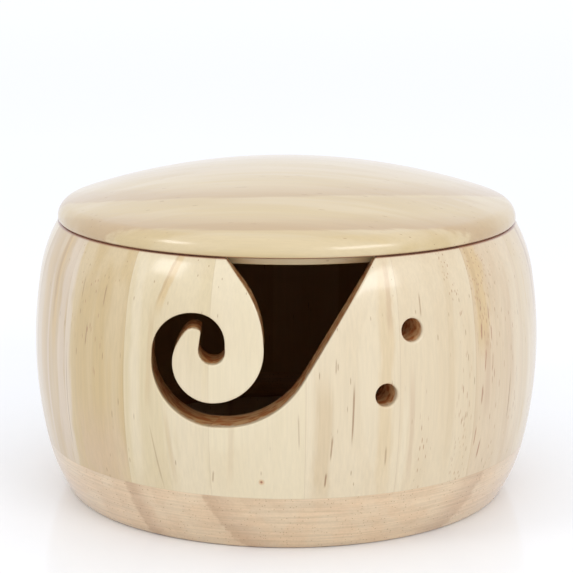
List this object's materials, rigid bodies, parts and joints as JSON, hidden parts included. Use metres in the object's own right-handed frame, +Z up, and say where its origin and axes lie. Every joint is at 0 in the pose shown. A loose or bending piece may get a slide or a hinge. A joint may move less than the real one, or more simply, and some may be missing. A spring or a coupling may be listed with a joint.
{
  "type": "lidded yarn bowl",
  "caption": "Round turned pine yarn bowl with a lift-off domed lid, a scroll-shaped yarn slot open at the rim and two needle holes.",
  "frame": {"origin": "centre of the flat underside of the base board", "axes": "+Z up along the bowl's axis; the scroll slot and the needle holes are at the front, towards -Y; +X is to the right seen from the front"},
  "size_m": [0.18, 0.18, 0.1166],
  "materials": {
    "pine_wall": "satin clear",
    "pine_base": "satin clear",
    "pine_lid": "satin clear"
  },
  "bodies": {
    "bowl": {"base_board": "pine_base", "stave_01": "pine_wall", "stave_02": "pine_wall", "stave_03": "pine_wall", "stave_04": "pine_wall", "stave_05": "pine_wall", "stave_06": "pine_wall", "stave_07": "pine_wall", "stave_08": "pine_wall", "stave_09": "pine_wall", "stave_10": "pine_wall", "stave_11": "pine_wall", "stave_12": "pine_wall", "stave_13": "pine_wall", "stave_14": "pine_wall", "stave_15": "pine_wall", "stave_16": "pine_wall", "stave_17": "pine_wall", "stave_18": "pine_wall", "scroll_tongue": "pine_wall", "scroll_tip": "pine_wall"},
    "lid": {"lid": "pine_lid"}
  },
  "joints": [
    {"name": "lid_lift", "type": "slide", "parent": "bowl", "child": "lid", "axis": [0, 0, 1], "range_m": [0, 0.12]}
  ]
}
